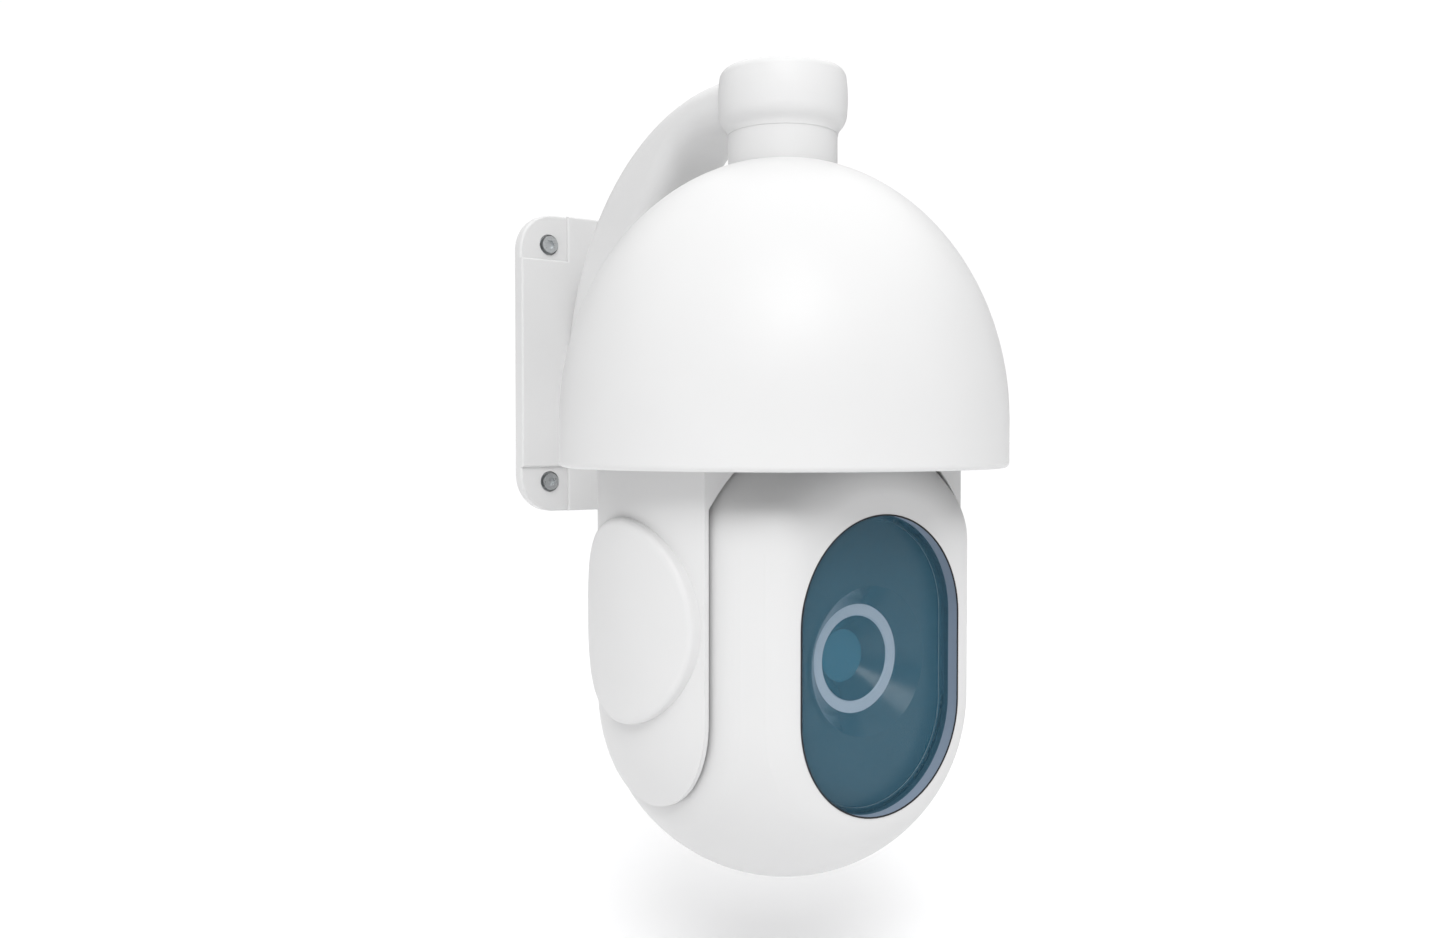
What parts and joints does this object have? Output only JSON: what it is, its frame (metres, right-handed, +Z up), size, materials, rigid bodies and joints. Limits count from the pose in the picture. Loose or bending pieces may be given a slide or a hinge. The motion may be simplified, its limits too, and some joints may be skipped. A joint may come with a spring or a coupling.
{
  "type": "wall-mounted ptz camera",
  "caption": "Wall-mounted pan, tilt and zoom security camera: bracket arm, domed housing, rotating yoke and a ball-shaped tilting head with an upright oval window.",
  "frame": {"origin": "centre of the four wall screws, on the wall face of the bracket's plate", "axes": "+Z up, +Y into the wall; the lens looks along -Y at rest and +X is to the right seen from the front"},
  "size_m": [0.22, 0.316, 0.3952],
  "materials": {
    "white_housing": "satin white",
    "neck_paint": "satin white",
    "steel_screw": "machined",
    "black_rubber": "matt",
    "machined_aluminium": "machined",
    "circuit_board": "solder mask",
    "black_plastic": "matt",
    "bearing_steel": "ground",
    "gear_plastic": "natural acetal",
    "motor_case": "satin",
    "tinted_window": "tinted, polished",
    "lens_glass": "coated",
    "lens_trim": "satin grey"
  },
  "bodies": {
    "bracket": {"wall_bracket": "white_housing", "wall_screws": "steel_screw", "wall_washers": "steel_screw", "cable_grommet": "black_rubber", "dome_housing": "white_housing", "neck_tube": "neck_paint", "neck_nut": "machined_aluminium", "neck_seal": "black_rubber", "chassis_plate": "machined_aluminium", "chassis_screws": "steel_screw", "board_standoffs": "machined_aluminium", "main_board": "circuit_board", "board_parts": "black_plastic", "pan_bearing_outer": "bearing_steel", "pan_bearing_balls": "bearing_steel", "pan_motor": "motor_case", "slip_ring_stator": "black_plastic", "slip_ring_bracket": "machined_aluminium"},
    "yoke": {"pan_bearing_inner": "bearing_steel", "pan_shaft": "machined_aluminium", "pan_gear": "gear_plastic", "slip_ring_rotor": "black_plastic", "yoke_frame": "white_housing", "left_cap": "white_housing", "right_cap": "white_housing", "turntable_plate": "machined_aluminium", "tilt_belt": "black_rubber", "tilt_motor": "motor_case", "left_tilt_bush": "gear_plastic", "right_tilt_bush": "gear_plastic"},
    "pan_pinion": {"pan_pinion": "gear_plastic", "pan_motor_shaft": "bearing_steel"},
    "tilt_drive_pulley": {"drive_pulley": "machined_aluminium"},
    "head": {"tilt_pulley": "machined_aluminium", "left_tilt_shaft": "machined_aluminium", "right_tilt_shaft": "machined_aluminium", "retaining_collar": "bearing_steel", "head_front_shell": "white_housing", "head_rear_shell": "white_housing", "shell_screws": "steel_screw", "window_glass": "tinted_window", "window_gasket": "black_rubber", "lens_hood": "black_plastic", "lens_ring": "lens_trim", "lens_baffle": "black_plastic", "front_lens": "lens_glass", "lens_barrel": "black_plastic", "guide_rods": "bearing_steel", "sensor_mount": "black_plastic", "image_sensor": "motor_case", "sensor_board": "circuit_board", "lens_cradle": "machined_aluminium", "zoom_motor": "motor_case", "focus_motor": "motor_case"},
    "zoom_group": {"zoom_carriage": "black_plastic", "zoom_lens": "lens_glass"},
    "focus_group": {"focus_carriage": "black_plastic", "focus_lens": "lens_glass"}
  },
  "joints": [
    {"name": "pan", "type": "hinge", "parent": "bracket", "child": "yoke", "pos_m": [0, -0.19, 0], "axis": [0, 0, 1], "continuous": true},
    {"name": "tilt", "type": "hinge", "parent": "yoke", "child": "head", "pos_m": [0, -0.19, -0.1276], "axis": [1, 0, 0], "range_deg": [-15, 90]},
    {"name": "pan_pinion_spin", "type": "hinge", "parent": "bracket", "child": "pan_pinion", "pos_m": [0.048, -0.19, 0], "axis": [0, 0, 1], "continuous": true},
    {"name": "drive_pulley_spin", "type": "hinge", "parent": "yoke", "child": "tilt_drive_pulley", "pos_m": [0, -0.19, -0.028], "axis": [1, 0, 0], "range_deg": [-45, 270]},
    {"name": "zoom", "type": "slide", "parent": "head", "child": "zoom_group", "axis": [0, 1, 0], "range_m": [0, 0.022]},
    {"name": "focus", "type": "slide", "parent": "head", "child": "focus_group", "axis": [0, 1, 0], "range_m": [-0.003, 0.006]}
  ],
  "couplings": [
    {"joint": "pan_pinion_spin", "follows": "pan", "ratio": -5},
    {"joint": "drive_pulley_spin", "follows": "tilt", "ratio": 3}
  ]
}
